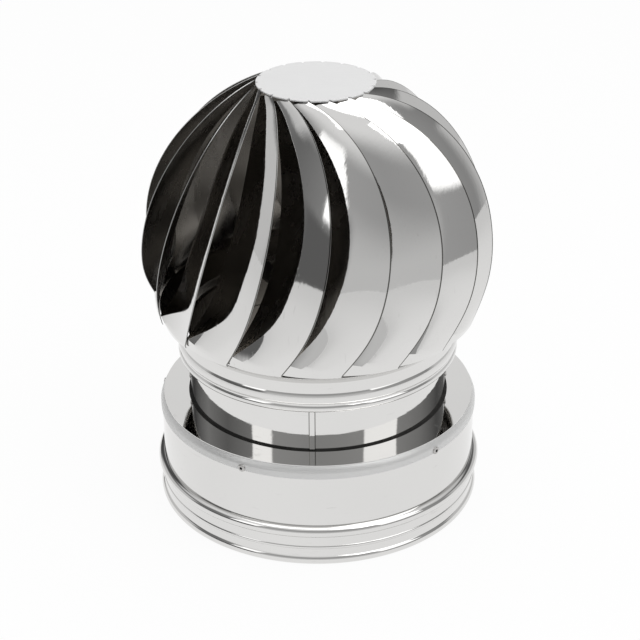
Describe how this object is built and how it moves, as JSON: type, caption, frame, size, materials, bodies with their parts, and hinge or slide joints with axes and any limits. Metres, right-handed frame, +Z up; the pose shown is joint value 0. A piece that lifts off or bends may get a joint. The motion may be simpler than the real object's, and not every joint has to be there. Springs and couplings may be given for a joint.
{
  "type": "rotating chimney cowl",
  "caption": "Wind-driven chimney cowl: a globe of slanted, overlapping polished blades spins on a ball bearing above a fixed twin-wall flue base.",
  "frame": {"origin": "centre of the bottom edge of the drum, on the axis of rotation", "axes": "+Z up along the spindle, -Y towards the viewer of the picture"},
  "size_m": [0.2666, 0.27, 0.3409],
  "materials": {
    "polished_stainless": "mirror-polished stainless sheet",
    "plain_steel": "plain turned and bent stainless steel",
    "bearing_steel": "ground bearing steel",
    "rivet_steel": "stainless rivets",
    "bush_bronze": "sintered bronze bush"
  },
  "bodies": {
    "base": {"outer_drum": "polished_stainless", "rim_ring": "polished_stainless", "rim_rivets": "rivet_steel", "inner_pipe": "polished_stainless", "neck_sleeve": "polished_stainless", "gap_floor_ring": "polished_stainless", "top_plate": "polished_stainless", "spacer_clips": "polished_stainless", "spindle_bridge": "plain_steel", "bridge_rivets": "rivet_steel", "spindle": "plain_steel", "upper_washer": "plain_steel", "lower_washer": "plain_steel", "clamping_nut": "plain_steel", "lock_nut": "plain_steel", "bearing_inner_ring": "bearing_steel", "spindle_snap_ring": "bearing_steel"},
    "rotor": {"top_disc": "polished_stainless", "bearing_housing": "plain_steel", "bearing_outer_ring": "bearing_steel", "bearing_balls": "bearing_steel", "housing_snap_ring": "bearing_steel", "lower_ring": "polished_stainless", "lower_spider": "plain_steel", "spider_bush": "bush_bronze", "blade_01": "polished_stainless", "blade_02": "polished_stainless", "blade_03": "polished_stainless", "blade_04": "polished_stainless", "blade_05": "polished_stainless", "blade_06": "polished_stainless", "blade_07": "polished_stainless", "blade_08": "polished_stainless", "blade_09": "polished_stainless", "blade_10": "polished_stainless", "blade_11": "polished_stainless", "blade_12": "polished_stainless", "blade_13": "polished_stainless", "blade_14": "polished_stainless", "blade_15": "polished_stainless", "blade_16": "polished_stainless", "blade_17": "polished_stainless", "blade_18": "polished_stainless"}
  },
  "joints": [
    {"name": "rotor_spin", "type": "hinge", "parent": "base", "child": "rotor", "pos_m": [0, 0, 0.322], "axis": [0, 0, 1], "continuous": true}
  ]
}
